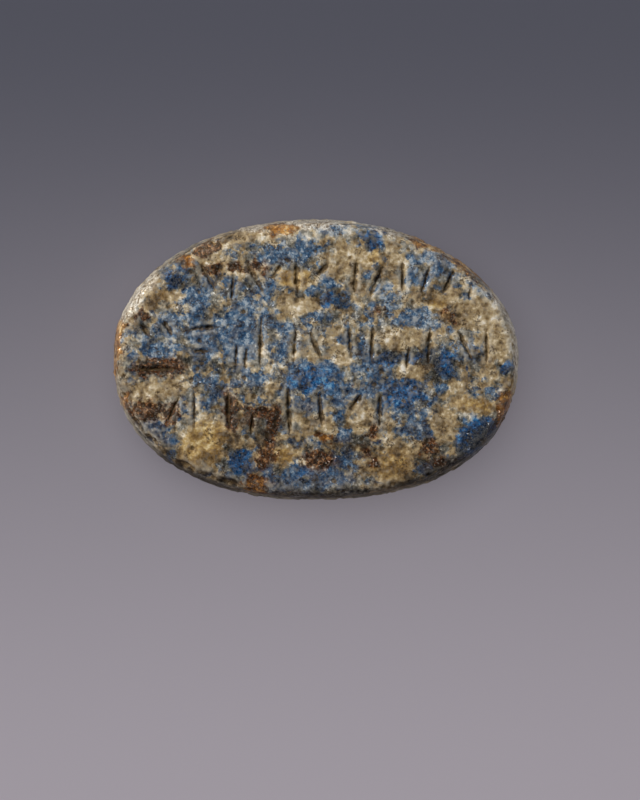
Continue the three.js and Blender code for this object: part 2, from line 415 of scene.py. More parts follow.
# %% The rust and orange patches
RUST = [
    (-4.65, 4.1, 0.5, 0.22, 0, 0.65),
    (-4.75, 4.95, 0.6, 0.25, 20, 0.7),
    (-2.95, 4.05, 0.75, 0.25, 0, 0.65),
    (-6.9, -0.35, 1.0, 0.3, 0, 1.0),
    (-7.5, -2.25, 0.6, 0.5, 0, 0.9),
    (-6.4, -2.4, 0.25, 0.5, -20, 0.9),
    (-3.7, -2.3, 0.32, 0.75, 0, 1.0),
    (-2.7, -2.25, 0.5, 0.2, 0, 0.8),
    (-1.9, -2.8, 0.28, 0.6, 0, 1.0),
    (-3.0, -2.75, 0.25, 0.2, 0, 0.5),
    (-2.0, -3.6, 0.25, 0.35, 0, 0.9),
    (-2.2, -4.3, 0.4, 0.6, -40, 0.9),
    (0.1, -4.45, 0.55, 0.4, 0, 0.85),
    (5.9, 1.85, 0.45, 0.35, 0, 0.5),
    (2.7, 2.25, 0.22, 0.25, 0, 0.4),
    (2.6, -4.5, 0.2, 0.3, -30, 0.9),
    (2.1, -4.05, 0.3, 0.25, 0, 0.7),
    (2.55, -3.2, 0.18, 0.35, 0, 0.8),
    (4.95, -3.9, 0.35, 0.4, 0, 0.75),
    (5.5, -4.65, 0.25, 0.15, 0, 0.9),
    (-7.65, 2.05, 0.3, 0.25, 0, 1.0),
]
ORANGE = [
    (0.35, -3.4, 0.3, 0.18, 0, 0.8),
    (-8.75, 0.9, 0.2, 0.7, 0, 0.8),
    (-1.6, 5.75, 0.65, 0.25, 0, 1.0),
    (-5.7, 4.3, 0.35, 0.25, 0, 1.0),
    (-2.6, -5.55, 0.5, 0.45, 0, 1.0),
    (8.3, -2.15, 0.35, 0.75, -15, 0.9),
    (-8.65, 1.3, 0.25, 0.45, 0, 0.9),
    (-8.4, -1.8, 0.25, 0.4, 0, 0.9),
    (-8.9, -0.3, 0.15, 0.9, 0, 0.8),
    (4.9, 5.15, 0.8, 0.28, -30, 1.0),
    (6.5, 4.4, 0.8, 0.25, -42, 1.0),
    (7.9, 3.3, 0.9, 0.25, -55, 1.0),
]
print("rust patches:", len(RUST), "and orange ones:", len(ORANGE))

# %% [markdown]
# ## Darker and lighter places, painted light and shade, and the bare rim
# Two more lists say how dark or light the stone is, whatever its colour there, since a blue grain
# can be nearly black or pale and powdery. Some of their patches are painted light and shade: dark
# strips along the lower rim, away from the light, and light patches on the left, upper right and
# right rims, where the lamps strike. A last list follows the rim at the top, the upper left and
# the right, where fingers and a setting have rubbed the stone down to a bare pale skin; its
# paleness is partly painted highlight.

# %% The dark patches, some of them painted shade
DARK_AND_SHADED = [
    (7.2, -3.55, 1.5, 0.7, 38, 1.0),
    (4.5, -5.1, 1.3, 0.45, 12, 1.0),
    (-3.6, -4.5, 0.7, 0.9, 0, 0.8),
    (-2.4, -3.0, 0.7, 0.7, 0, 0.8),
    (0.8, -4.0, 0.6, 0.45, 0, 1.0),
    (2.2, -3.6, 0.45, 0.35, 0, 0.9),
    (3.5, -4.2, 0.45, 0.3, 0, 0.7),
    (4.8, 0.0, 0.55, 0.5, 0, 0.9),
    (5.3, -0.7, 0.5, 0.4, 0, 0.7),
    (3.2, 0.2, 0.5, 0.35, 0, 0.7),
    (1.1, 2.9, 0.5, 0.4, 0, 0.6),
    (-1.2, 2.9, 0.45, 0.35, 0, 1.0),
    (5.1, 2.9, 0.7, 0.4, 0, 0.9),
    (-5.0, -0.2, 0.4, 0.3, 0, 0.7),
    (8.1, 0.9, 0.2, 0.8, 8, 0.5),
    (8.4, -0.6, 0.35, 0.3, 0, 0.8),
    (-3.5, 5.3, 0.5, 0.3, 0, 0.7),
    (-4.4, 3.7, 0.3, 0.5, 0, 1.0),
    (-7.3, 2.8, 0.5, 0.4, 0, 0.8),
    (-0.4, 4.4, 0.25, 0.6, 0, 0.7),
    (2.9, 4.0, 0.3, 0.5, 0, 0.8),
    (-4.8, 2.1, 0.45, 0.5, 0, 0.8),
    (-4.5, -1.5, 0.5, 0.3, 0, 0.8),
    (-7.4, 1.4, 0.5, 0.5, 0, 0.7),
    (-6.3, 3.4, 0.5, 0.5, 0, 1.0),
    (-7.2, -0.4, 1.1, 0.35, 0, 0.7),
    (-6.2, -4.4, 0.9, 0.45, -40, 1.0),
    (0.8, -4.5, 0.5, 0.25, 0, 0.8),
    (-4.6, -4.1, 0.4, 0.25, 0, 0.7),
    (-3.6, 5.3, 0.5, 0.25, 0, 0.6),
    (-4.1, -0.5, 0.7, 0.25, 0, 0.6),
    (5.5, -4.65, 0.3, 0.2, 0, 1.0),
    # these strips along the lower rim, away from the light, are painted shade
    (-4.7, -5.5, 1.8, 0.3, -22, 0.8),
    (0.6, -5.95, 3.0, 0.25, 0, 0.7),
    (6.9, -4.35, 1.7, 0.35, 38, 0.9),
    (-5.4, 5.0, 0.4, 0.25, 30, 0.7),
    (0.2, 6.1, 0.4, 0.2, 0, 0.8),
    (1.5, 2.3, 0.4, 0.3, 0, 0.7),
    (1.1, 3.8, 0.5, 0.3, 0, 0.5),
    (6.2, 3.2, 0.3, 0.3, 0, 0.7),
    (5.9, 1.7, 0.35, 0.3, 0, 0.6),
    (0.0, 2.6, 0.4, 0.25, 0, 0.6),
    (5.9, -0.9, 0.4, 0.35, 0, 0.9),
    (7.1, 0.2, 0.3, 0.4, 0, 0.6),
    (-3.1, 3.1, 0.35, 0.35, 0, 0.7),
    (-1.9, 0.4, 0.2, 0.3, 0, 0.7),
    (-3.3, -3.6, 0.45, 0.35, -40, 0.9),
    (0.4, -2.8, 0.35, 0.25, 0, 0.8),
    (1.8, -2.0, 0.35, 0.25, 0, 0.8),
    (2.1, -4.1, 0.4, 0.3, 0, 0.7),
    (2.1, 5.2, 0.5, 0.3, 0, 0.7),
    (7.6, -2.9, 0.5, 0.4, -30, 0.8),
    (2.8, 2.0, 0.3, 0.25, 0, 0.7),
    (5.9, 4.05, 0.35, 0.25, 0, 0.8),
    (4.2, -2.1, 0.35, 0.25, 0, 0.7),
    (2.9, 3.7, 0.25, 0.3, 0, 0.8),
    (-5.0, 0.1, 0.3, 0.25, 0, 0.7),
    (4.95, -3.8, 0.45, 0.5, 0, 0.6),
    (-3.7, -2.4, 0.3, 0.6, 0, 0.7),
    (-4.1, -0.5, 0.4, 0.25, 0, 0.5),
    (-1.9, -2.9, 0.35, 0.6, 0, 0.7),
    (-1.2, 2.9, 0.35, 0.3, 0, 0.7),
]
print("dark patches:", len(DARK_AND_SHADED))

# %% The light patches, some of them painted light
LIGHT_AND_LIT = [
    (3.2, 2.4, 0.7, 0.5, 0, 0.7),
    (2.4, 1.8, 0.4, 0.3, 0, 0.7),
    (3.0, 1.1, 0.4, 0.3, 0, 0.7),
    (3.9, -0.3, 0.5, 0.35, -35, 0.8),
    (2.0, -0.4, 0.35, 0.4, 0, 1.0),
    (4.9, 1.75, 0.5, 0.35, 0, 1.0),
    (6.7, 1.65, 0.5, 0.35, 0, 0.7),
    (7.8, -0.6, 0.35, 0.35, 0, 0.8),
    (3.9, 4.3, 0.5, 0.4, 0, 0.9),
    (3.7, 3.3, 0.4, 0.4, 0, 1.0),
    # the next two, on the upper right rim, are painted light
    (6.5, 3.9, 0.55, 0.35, -40, 1.0),
    (7.8, 2.6, 0.7, 0.4, -58, 1.0),
    (6.75, 3.2, 0.3, 0.25, 0, 0.9),
    (-5.4, -3.9, 0.8, 0.5, 35, 0.8),
    (-6.1, 2.4, 0.45, 0.3, 0, 0.9),
    (-4.2, 2.6, 0.4, 0.3, 0, 0.7),
    (-3.7, 3.8, 0.35, 0.5, 0, 0.8),
    (-2.5, 0.6, 0.35, 0.4, 0, 0.9),
    (-5.0, 4.8, 0.4, 0.4, 0, 0.6),
    (-1.8, 5.5, 0.9, 0.3, 0, 0.8),
    (1.2, 5.8, 1.0, 0.25, 0, 0.8),
    (6.1, -1.3, 0.4, 0.3, 0, 0.8),
    (4.2, 4.6, 0.3, 0.2, 0, 0.6),
    (-0.8, 2.0, 0.8, 0.3, 0, 0.8),
    (-2.6, 2.4, 0.8, 0.3, 0, 0.7),
    # the next two, on the upper left and right rims, are painted light where the lamps strike
    (-7.9, 2.6, 0.5, 0.35, 60, 0.8),
    (8.6, 1.3, 0.25, 0.8, 12, 0.9),
    (7.0, -2.75, 0.4, 0.3, 0, 1.0),
    (-0.7, 5.5, 0.5, 0.3, 0, 1.0),
    (-6.4, 0.4, 0.4, 0.35, 0, 0.8),
    (-1.9, -0.4, 0.5, 0.4, 0, 0.7),
    (2.9, -5.2, 0.7, 0.3, 0, 0.5),
    (-2.7, -2.4, 0.4, 0.3, 0, 0.5),
    (-6.7, -3.6, 0.4, 0.35, 0, 0.7),
    (-4.0, 0.6, 2.6, 1.6, 0, 0.25),
    (-4.6, 4.35, 0.5, 0.25, 0, 0.8),
    # on the upper right rim: painted light
    (5.2, 4.85, 0.5, 0.25, -35, 0.8),
    (2.4, 4.5, 0.3, 0.35, 0, 0.6),
    (2.1, -2.3, 0.25, 0.25, 0, 0.7),
    (1.1, 4.5, 0.4, 0.25, 0, 0.5),
    (4.7, 4.0, 0.4, 0.3, 0, 0.7),
    (7.5, 1.3, 0.4, 0.5, 0, 0.8),
    (-0.4, 1.5, 0.6, 0.3, 0, 0.7),
    (-1.5, 0.2, 0.35, 0.3, 0, 0.7),
    (-4.5, -1.0, 0.35, 0.25, 0, 0.7),
    (-4.3, -0.05, 0.2, 0.2, 0, 0.9),
    (-0.15, 3.5, 0.3, 0.2, 40, 0.5),
    (-5.3, 1.95, 0.35, 0.3, 0, 0.5),
    (0.7, -0.7, 0.35, 0.5, 0, 0.6),
    (-1.1, -0.9, 0.5, 0.4, 0, 0.6),
    (7.9, -1.7, 0.4, 0.35, 0, 0.9),
    # on the upper right rim: painted light
    (5.8, 4.7, 0.35, 0.2, -40, 0.8),
    (1.1, -3.2, 0.35, 0.25, 0, 0.7),
    (3.1, 2.8, 0.35, 0.3, 0, 0.8),
    (-5.3, 2.9, 0.4, 0.35, 0, 0.7),
    (1.1, 0.1, 0.3, 0.35, 0, 0.8),
    # these three, on the left and upper right rims, are painted light
    (-8.65, 1.4, 0.25, 0.4, 0, 1.0),
    (5.2, 5.05, 0.7, 0.25, -30, 0.8),
    (7.6, 3.5, 0.9, 0.25, -52, 0.8),
]
print("light patches:", len(LIGHT_AND_LIT))

# %% The bare stretches of the rim, whose paleness is partly painted highlight
# rubbed bare skin, and painted highlight where the lamps strike the rim
BARE_AND_LIT = [
    (-7.95, 3.0, 1.6, 0.42, 54, 1.0),
    (-1.2, 6.05, 2.9, 0.35, 4, 1.0),
    (3.3, 5.75, 1.0, 0.25, -12, 0.8),
    (8.7, 1.7, 1.0, 0.25, -72, 0.9),
    (8.9, 0.2, 1.0, 0.2, -88, 0.8),
    (7.9, 2.8, 0.6, 0.25, -58, 0.7),
]
print("bare stretches:", len(BARE_AND_LIT))

# %% [markdown]
# ## From patches to values on the mesh
# A patch fades out from its middle, and where patches overlap they add up without passing 1. Their
# outlines are bent by noise. From the girdle up the patches rule, and below it slow noise takes
# over, because the photograph doesn't show the back and a copy of the front would look wrong
# there. The results are stored as attributes, one number a point, which the material reads by name.

# %% Helpers for patches
def noise_at(places, size, shift):
    """Slow noise between about -1 and 1 at each place."""
    away = SHIFT + Vector((shift, 0, 0))
    return np.array([noise.fractal(Vector(place) / size + away, 0.6, *LAYERS) for place in places])


def patch_share(spots, x, y):
    """How far each point lies inside any of the spots, from 0 to 1."""
    outside = np.ones_like(x)
    for across, up, half_long, half_wide, turn, strength in spots:
        angle = math.radians(turn)
        along = (x - across) * math.cos(angle) + (y - up) * math.sin(angle)
        off = (y - up) * math.cos(angle) - (x - across) * math.sin(angle)
        distance = (along / half_long) ** 2 + (off / half_wide) ** 2
        outside *= 1 - strength / (1 + distance ** 2)
    return 1 - outside


def climb(values, start, end):
    """0 below start, 1 above end and a straight climb between."""
    return np.clip((values - start) / (end - start), 0, 1)


def store(name, values):
    attribute = stone.data.attributes.new(name, "FLOAT", "POINT")
    attribute.data.foreach_set("value", values.astype(np.float32))


middle_and_rim = patch_share([(0, 0, 1, 1, 0, 1.0)], np.array([0.0, 1.0]), np.zeros(2))
print("a patch's share at its middle and its rim:", middle_and_rim)

# %% Bend the outlines and find the front
BEND = [(0.9, 0.22), (0.3, 0.1)]  # size and height of the noise that bends the outlines, mm
FRONT_FROM = 0.4  # mm above the back, where the patches start to show
FRONT_FULL = 1.4

x, y, z = points.T
for step, (size, height) in enumerate(BEND):
    x = x + height * noise_at(points, size, 10 + step)
    y = y + height * noise_at(points, size, 20 + step)
front = climb(z, FRONT_FROM, FRONT_FULL)
slow = noise_at(points, 1.5, 40) * (1 - front)
rust_slow = noise_at(points, 1.2, 50)
print("share of the points on the front:", round(float((front == 1).mean()), 2))

# %% [markdown]
# ## Blue or cream
# One number says which way the stone leans: 0 is cream, 1 is blue and the middle is a mixture.
# Deep blue and ochre are stronger forms of the two, so their patches count there too.

# %% Store the lean from cream to blue
EVEN_LEAN = 0.46  # where no patch lies
BLUE_PULL = 0.52
CREAM_PULL = 0.5
BACK_SWING = 0.3  # how far slow noise moves the lean below the girdle

deep = patch_share(DEEP_BLUE, x, y) * front
ochre = patch_share(OCHRE, x, y) * front
blue = np.maximum(patch_share(BLUE, x, y) * front, deep)
cream = np.maximum(patch_share(CREAM, x, y) * front, ochre)
lean = EVEN_LEAN + BLUE_PULL * blue - CREAM_PULL * cream + BACK_SWING * slow
store("blue_lean", np.clip(lean, 0, 1))
store("deep_blue", deep)
store("ochre", ochre)
print("mean lean:", round(float(lean.mean()), 3))

# %% Store the rust
RUST_PULL = 1.25
BACK_RUST_FROM = 0.25  # how high slow noise must be to rust the stone below the girdle
BACK_ORANGE = 0.4

orange = patch_share(ORANGE, x, y) * front
rust = RUST_PULL * np.maximum(patch_share(RUST, x, y) * front, orange)
rust = rust + np.clip(rust_slow - BACK_RUST_FROM, 0, 1) * (1 - front)
store("rust", np.clip(rust, 0, 1))
store("orange", np.clip(orange + BACK_ORANGE * slow, 0, 1))
print("mean rust:", round(float(np.clip(rust, 0, 1).mean()), 3))

# %% Store how light the stone is, with painted light and shade, its hollows and its lips
# the lips' paleness is rubbing and painted highlight; a dark patch keeps most of it off
LIP_SPARED = 0.85  # how much of the rubbing a dark patch keeps off

dark_and_shaded = patch_share(DARK_AND_SHADED, x, y)
# the stone's own lighter and darker places, with painted light and shade on the rims
shade = (patch_share(LIGHT_AND_LIT, x, y) - dark_and_shaded) * front
store("lightness_and_painted_light", 0.5 + 0.5 * shade)
store("hollow", hollows)
store("lip", lips * (1 - LIP_SPARED * dark_and_shaded))
print("mean shade:", round(float(shade.mean()), 3))

# %% [markdown]
# ## Bare rim, grime and painted shade
# The bare skin lies only above the girdle; where the lamps strike the rim, its paleness is partly
# painted highlight. Greasy brown dirt lies thinly over the whole stone and is thicker on the worn
# edge. Towards the lower side, away from the light, the same brown grows thicker as painted shade.
# It shows least on the deep blue.

# %% Store the bare rim with its painted highlight, and the grime with its painted shade
EDGE_FROM = 0.91  # share of the way out to the outline where the worn edge starts
EDGE_FULL = 0.97
# the bare rim, rubbed skin and painted highlight, shows from this height up
BARE_AND_LIT_FROM = 1.2  # mm above the back, where the rubbing starts
BARE_AND_LIT_FULL = 1.7
# the lower side's share is painted shade, darker away from the light
GRIME_AND_SHADE = {"all over": 0.2, "painted shade on the lower side": 0.22, "edge": 0.4, "kept off deep blue": 0.8}

reach = np.hypot(points[:, 0] / HALF_LENGTH, points[:, 1] / HALF_WIDTH)
on_edge = climb(reach, EDGE_FROM, EDGE_FULL)
# rubbed bare skin on the rim, near-white there partly as painted highlight
bare = patch_share(BARE_AND_LIT, x, y) * climb(points[:, 2], BARE_AND_LIT_FROM, BARE_AND_LIT_FULL)
store("bare", bare)
# painted shade: the brown grows thicker towards the lower side, away from the light
grime_and_shade = GRIME_AND_SHADE["all over"] - GRIME_AND_SHADE["painted shade on the lower side"] * points[:, 1] / HALF_WIDTH
grime_and_shade = grime_and_shade + GRIME_AND_SHADE["edge"] * on_edge * (1 - bare) * (1 - orange)
store("grime_and_shade", np.clip(grime_and_shade * (1 - GRIME_AND_SHADE["kept off deep blue"] * deep), 0, 1))
print("attributes:", [a.name for a in stone.data.attributes if a.domain == "POINT"])

# %% [markdown]
# ## The finished piece
# The mesh goes back to metres, and smooth shading hides its small faces. It stands for the packed
# node and rides on the one body. A closed mesh has no edge with only one face, which is counted
# here.

# %% Scale to metres and hand over
stone.data.transform(Matrix.Scale(MM, 4))
for face in stone.data.polygons:
    face.use_smooth = True
shape = bmesh.new()
shape.from_mesh(stone.data)
print("open edges:", sum(1 for edge in shape.edges if len(edge.link_faces) != 2))
print("volume, cubic mm:", round(shape.calc_volume(signed=True) / MM ** 3, 1))
shape.free()
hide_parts(STONE_NODE)
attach(stone, "root")

# %% [markdown]
# ## Small tools for node trees
# A material is a network of nodes. These helpers add a node with its settings, join two sockets,
# and do the sums that come up again and again, so the cells below read as a list of what feeds
# what. A group made with new_group has named sockets and can be placed many times.

# %% Helpers for nodes
def add(tree, kind, **settings):
    """A new node of a kind, such as TexNoise, with its settings."""
    made = tree.nodes.new("ShaderNode" + kind)
    for name, value in settings.items():
        setattr(made, name, value)
    return made


def feed(tree, source, target):
    """Set a socket to a number or colour, or join another socket to it."""
    if isinstance(source, bpy.types.NodeSocket):
        tree.links.new(source, target)
    else:
        target.default_value = source


def sum_up(tree, operation, first, second=0.0, third=0.0, clamp=False):
    """One Math node's result."""
    made = add(tree, "Math", operation=operation, use_clamp=clamp)
    for source, target in zip((first, second, third), made.inputs):
        feed(tree, source, target)
    return made.outputs["Value"]


def swing_by(tree, value, *swings):
    """A value moved up and down by 0 to 1 patterns, each by half its height either way."""
    for pattern, height in swings:
        centred = sum_up(tree, "MULTIPLY_ADD", pattern, height, -height / 2)
        value = sum_up(tree, "ADD", value, centred)
    return value


def step_up(tree, value, start, end):
    """0 below start, 1 above end and a soft step between. Where end is lower, it steps down."""
    made = add(tree, "MapRange", interpolation_type="SMOOTHSTEP")
    for source, label in ((value, "Value"), (start, "From Min"), (end, "From Max")):
        feed(tree, source, made.inputs[label])
    return made.outputs["Result"]


def blend_colours(tree, share, below, above):
    """One colour laid over another, as thick as the share says."""
    made = add(tree, "Mix", data_type="RGBA", blend_type="MIX")
    feed(tree, share, made.inputs["Factor"])
    colours = [socket for socket in made.inputs if socket.type == "RGBA"]
    feed(tree, below, colours[0])
    feed(tree, above, colours[1])
    return next(socket for socket in made.outputs if socket.type == "RGBA")


def colour_ramp(tree, value, stops):
    """Colours at places from 0 to 1, blended between."""
    made = add(tree, "ValToRGB")
    elements = made.color_ramp.elements
    while len(elements) < len(stops):
        elements.new(1.0)
    for element, (place, colour) in zip(elements, stops):
        element.position = place
        element.color = (*colour, 1.0)
    feed(tree, value, made.inputs["Fac"])
    return made.outputs["Color"]


print("tools:", ", ".join(tool.__name__ for tool in (add, feed, sum_up, swing_by, step_up)))

# %% Helpers for node groups
def new_group(name, inputs, outputs):
    """An empty node group with named sockets, and its two end nodes."""
    group = bpy.data.node_groups.new(name, "ShaderNodeTree")
    for label, kind, value in inputs:
        socket = group.interface.new_socket(label, in_out="INPUT", socket_type="NodeSocket" + kind)
        if value is not None:
            socket.default_value = value
    for label, kind in outputs:
        group.interface.new_socket(label, in_out="OUTPUT", socket_type="NodeSocket" + kind)
    return group, group.nodes.new("NodeGroupInput"), group.nodes.new("NodeGroupOutput")


def place_group(tree, group, **values):
    """A group placed in a tree, with its inputs given by name."""
    made = add(tree, "Group", node_tree=group)
    for name, value in values.items():
        feed(tree, value, made.inputs[name.capitalize()])
    return made.outputs


print("group tools:", new_group.__name__, "and", place_group.__name__)

# %% [markdown]
# ## Node group: crystals
# The stone is a packing of tiny crystals, each with its own tone, with paler seams between them. A
# Voronoi texture divides space in just this way. It is read twice at one size: once for each
# cell's random colour, whose channels give a tone and a tilt, and once for the distance to the
# nearest cell wall, which gives the seam. It is three-dimensional, so the crystals run on round
# the edge.

# %% Build the crystals group
crystals, start, end = new_group(
    "Crystals",
    [("Place", "Vector", None), ("Size", "Float", 0.1), ("Seam", "Float", 0.1)],
    [("Tone", "Float"), ("Second tone", "Float"), ("Seams", "Float"), ("Tilt", "Vector")],
)
share_of_size = sum_up(crystals, "DIVIDE", 1.0, start.outputs["Size"])
scaled = add(crystals, "VectorMath", operation="SCALE")
feed(crystals, start.outputs["Place"], scaled.inputs["Vector"])
feed(crystals, share_of_size, scaled.inputs["Scale"])
cells = add(crystals, "TexVoronoi", voronoi_dimensions="3D", feature="F1")
walls = add(crystals, "TexVoronoi", voronoi_dimensions="3D", feature="DISTANCE_TO_EDGE")
for texture in (cells, walls):
    feed(crystals, scaled.outputs["Vector"], texture.inputs["Vector"])
    feed(crystals, 1.0, texture.inputs["Scale"])
channels = add(crystals, "SeparateColor")
feed(crystals, cells.outputs["Color"], channels.inputs["Color"])
feed(crystals, channels.outputs["Red"], end.inputs["Tone"])
feed(crystals, channels.outputs["Green"], end.inputs["Second tone"])
seams = step_up(crystals, walls.outputs["Distance"], start.outputs["Seam"], 0.0)
feed(crystals, seams, end.inputs["Seams"])
middle = add(crystals, "VectorMath", operation="SUBTRACT")
feed(crystals, cells.outputs["Color"], middle.inputs[0])
feed(crystals, (0.5, 0.5, 0.5), middle.inputs[1])
feed(crystals, middle.outputs["Vector"], end.inputs["Tilt"])
print("group:", crystals.name, [item.name for item in crystals.interface.items_tree])

# %% [markdown]
# ## Node group: ragged mask
# A patch of colour in stone has a ragged border with islands off its coast. Adding noise to a soft
# share and then cutting it with a narrow step gives that: where the share is near one half, the
# noise decides. Every patch of colour, from the blue to the dust, is made with this one group.

# %% Build the ragged mask group
COAST_DETAIL = 2.5
COAST_ROUGHNESS = 0.55

ragged, start, end = new_group(
    "Ragged mask",
    [
        ("Place", "Vector", None),
        ("Share", "Float", 0.5),
        ("Size", "Float", 0.5),
        ("Raggedness", "Float", 0.5),
        ("Softness", "Float", 0.08),
    ],
    [("Mask", "Float")],
)
scale = sum_up(ragged, "DIVIDE", 1.0, start.outputs["Size"])
cloud = add(ragged, "TexNoise", noise_dimensions="3D")
feed(ragged, start.outputs["Place"], cloud.inputs["Vector"])
feed(ragged, scale, cloud.inputs["Scale"])
feed(ragged, COAST_DETAIL, cloud.inputs["Detail"])
feed(ragged, COAST_ROUGHNESS, cloud.inputs["Roughness"])
swing = sum_up(ragged, "SUBTRACT", cloud.outputs["Fac"], 0.5)
swing = sum_up(ragged, "MULTIPLY", swing, start.outputs["Raggedness"])
total = sum_up(ragged, "ADD", start.outputs["Share"], swing)
lower = sum_up(ragged, "SUBTRACT", 0.5, start.outputs["Softness"])
upper = sum_up(ragged, "ADD", 0.5, start.outputs["Softness"])
feed(ragged, step_up(ragged, total, lower, upper), end.inputs["Mask"])
print("group:", ragged.name, [item.name for item in ragged.interface.items_tree])

# %% [markdown]
# ## The stone's material: where it is read
# The pattern reads Object coordinates, which stay with the gem when it moves, and they are turned
# into millimetres. For the grains they are bent a little by noise, because real crystals aren't
# neat cells. The calm, unbent ones serve where a border should stay smooth.

# %% Start the material
BENDING = 0.12  # mm, both the size of the noise that bends the places and how far it bends them

stone_finish = bpy.data.materials.new("veined_blue_stone")
stone_finish.use_nodes = True
tree = stone_finish.node_tree
tree.nodes.clear()


def stored(name):
    """One of the numbers stored on the mesh."""
    return add(tree, "Attribute", attribute_name=name).outputs["Fac"]


def cloudy(place, size, detail=4.0, roughness=0.6, output="Fac"):
    """Soft noise of a size in millimetres."""
    made = add(tree, "TexNoise", noise_dimensions="3D")
    feed(tree, place, made.inputs["Vector"])
    feed(tree, 1 / size, made.inputs["Scale"])
    feed(tree, detail, made.inputs["Detail"])
    feed(tree, roughness, made.inputs["Roughness"])
    return made.outputs[output]


in_mm = add(tree, "VectorMath", operation="SCALE")
feed(tree, add(tree, "TexCoord").outputs["Object"], in_mm.inputs["Vector"])
feed(tree, 1 / MM, in_mm.inputs["Scale"])
calm = in_mm.outputs["Vector"]
bending = add(tree, "VectorMath", operation="MULTIPLY_ADD")
feed(tree, cloudy(calm, BENDING, output="Color"), bending.inputs[0])
feed(tree, (BENDING,) * 3, bending.inputs[1])
feed(tree, calm, bending.inputs[2])
bent = bending.outputs["Vector"]
print("places read by", len(tree.nodes), "nodes")

# %% [markdown]
# ## The stone's material: phases
# The material first decides, crystal by crystal, whether a point is blue, grey or cream. It starts
# from the lean stored on the mesh and adds each crystal's own random tone, at three crystal sizes,
# so at a patch's border whole crystals change sides. What is neither blue nor cream stays grey.

# %% Decide each crystal's phase
LARGE = {"size": 0.26, "seam": 0.08}  # mm, and how much of a crystal its seam takes
MEDIUM = {"size": 0.12, "seam": 0.14}
FINE = {"size": 0.065, "seam": 0.2}
BORDERS = {  # size of the noise in mm, raggedness and softness
    "blue": (0.55, 1.1, 0.13),
    "cream": (0.5, 1.1, 0.15),
    "deep blue": (0.35, 0.8, 0.25),
    "ochre": (0.6, 0.6, 0.3),
    "grime_and_shade": (0.8, 1.4, 0.3),
    "bare": (0.4, 1.3, 0.2),
    "halo": (0.4, 1.2, 0.3),
    "rust": (0.3, 1.9, 0.16),
    "dust_and_shade": (0.3, 0.6, 0.3),
}
BLUE_HELD_BACK = 0.08
CREAM_REACH = 0.93  # the smaller it is, the more grey lies between the blue and the cream

large, medium, fine = (
    place_group(tree, crystals, place=bent, **kind) for kind in (LARGE, MEDIUM, FINE)
)


def ragged_mask(kind, share, place=bent):
    """Where one kind of patch shows, with that kind's own border."""
    size, raggedness, softness = BORDERS[kind]
    made = place_group(
        tree, ragged, place=place, share=share, size=size, raggedness=raggedness, softness=softness
    )
    return made["Mask"]


lean = swing_by(
    tree, stored("blue_lean"), (large["Tone"], 0.3), (medium["Tone"], 0.16), (fine["Tone"], 0.04)
)
more_blue = sum_up(tree, "SUBTRACT", lean, BLUE_HELD_BACK)
more_cream = sum_up(tree, "SUBTRACT", CREAM_REACH, lean)
is_blue = ragged_mask("blue", more_blue, calm)
is_cream = ragged_mask("cream", more_cream, calm)
print("phases decided by", len(tree.nodes), "nodes")

# %% [markdown]
# ## The stone's material: light and dark
# A second number says how light each point is, whatever its phase. Single crystals differ, a few
# small ones are pale flecks, and clouds of several sizes pass over them. The lightness stored on
# the mesh moves it too, and along the rims that holds painted light and shade. The cream is matter
# than the blue, as chalk is, so its crystals differ less.

# %% Decide how light each crystal is
matte = sum_up(tree, "MULTIPLY", is_cream, sum_up(tree, "SUBTRACT", 1.0, is_blue))
crystal_swing = sum_up(tree, "MULTIPLY_ADD", matte, -0.12, 0.28)
fleck_swing = sum_up(tree, "MULTIPLY_ADD", matte, -0.2, 0.36)
flecks = sum_up(tree, "SUBTRACT", sum_up(tree, "POWER", fine["Second tone"], 3.0), 0.25)
tone = sum_up(tree, "SUBTRACT", medium["Second tone"], 0.5)
tone = sum_up(tree, "MULTIPLY_ADD", tone, crystal_swing, 0.475)
tone = sum_up(tree, "MULTIPLY_ADD", flecks, fleck_swing, tone)
tone = swing_by(
    tree,
    tone,
    (cloudy(bent, 2.4), 0.5),
    # the stored lightness, with its painted light and shade on the rims
    (stored("lightness_and_painted_light"), 0.85),
    (cloudy(bent, 0.7), 1.5),
    (cloudy(bent, 0.28, 3.0, 0.5), 1.7),
)
print("tone made by", len(tree.nodes), "nodes")

# %% [markdown]
# ## The stone's material: colours
# Each phase has a row of colours from its dark crystals to its light ones. Where the mesh says deep
# blue, the blue is darker and purer, and where it says ochre, the cream is yellower. The seams
# between crystals are paler, which gives the blue its net of fine light threads.

# %% Colour the blue
blue_colour = colour_ramp(tree, tone, [
    (0.0, (0.004, 0.011, 0.027)),
    (0.35, (0.010, 0.043, 0.108)),
    (0.6, (0.034, 0.103, 0.212)),
    (0.8, (0.11, 0.195, 0.31)),
    (1.0, (0.36, 0.43, 0.51)),
])
deep_colour = colour_ramp(tree, tone, [
    (0.0, (0.001, 0.008, 0.025)),
    (0.4, (0.002, 0.042, 0.135)),
    (0.75, (0.006, 0.135, 0.37)),
    (1.0, (0.15, 0.34, 0.54)),
])
is_deep = ragged_mask("deep blue", stored("deep_blue"))
blues = blend_colours(tree, is_deep, blue_colour, deep_colour)
print("blues added:", len(tree.nodes), "nodes")

